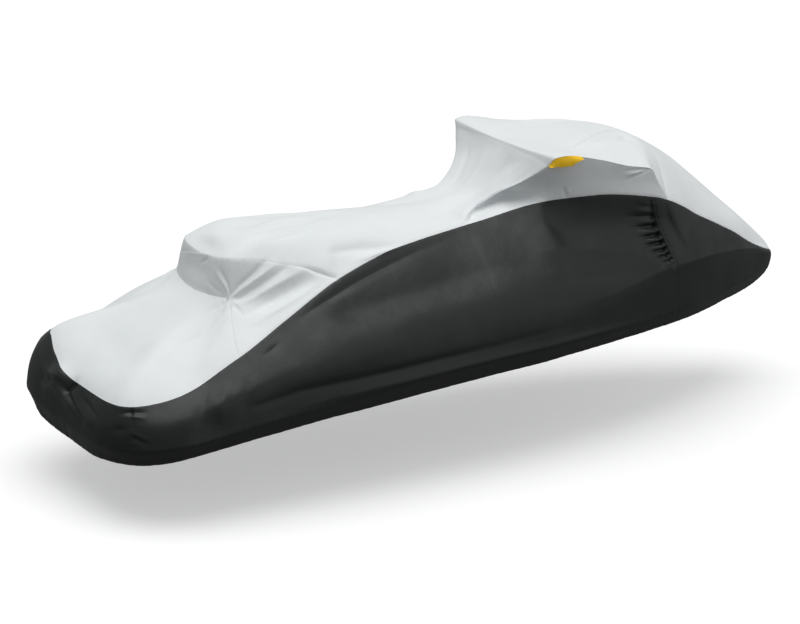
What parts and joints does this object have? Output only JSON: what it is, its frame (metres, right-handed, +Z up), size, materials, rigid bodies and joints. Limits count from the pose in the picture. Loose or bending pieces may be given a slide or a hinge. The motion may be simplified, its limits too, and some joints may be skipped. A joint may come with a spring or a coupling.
{
  "type": "personal watercraft cover",
  "caption": "Fitted hollow storage cover for a three-seat personal watercraft, silver panels over charcoal sides, with an elastic hem.",
  "frame": {"origin": "the point under the seat top, on the centre plane 1.40 m forward of the stern, on which the cover hangs", "axes": "+X towards the bow, +Y to port, +Z up"},
  "size_m": [3.5245, 1.233, 0.9835],
  "materials": {
    "silver_cloth": "coated woven polyester, pale silver grey, low sheen",
    "charcoal_cloth": "coated woven polyester, charcoal, satin",
    "hem_cloth": "coated woven polyester, near black, gathered on an elastic cord",
    "yellow_tag": "plain yellow coated cloth, satin"
  },
  "bodies": {
    "root": {"top_panel": "silver_cloth", "seat_back_panel": "silver_cloth", "deck_panel": "silver_cloth", "stern_panel": "charcoal_cloth", "seat_side_panel_starboard": "silver_cloth", "grip_gusset_starboard": "silver_cloth", "side_panel_starboard": "charcoal_cloth", "bow_panel_starboard": "charcoal_cloth", "hem_band_starboard": "hem_cloth", "seat_side_panel_port": "silver_cloth", "grip_gusset_port": "silver_cloth", "side_panel_port": "charcoal_cloth", "bow_panel_port": "charcoal_cloth", "hem_band_port": "hem_cloth", "yellow_tag": "yellow_tag"}
  },
  "joints": []
}
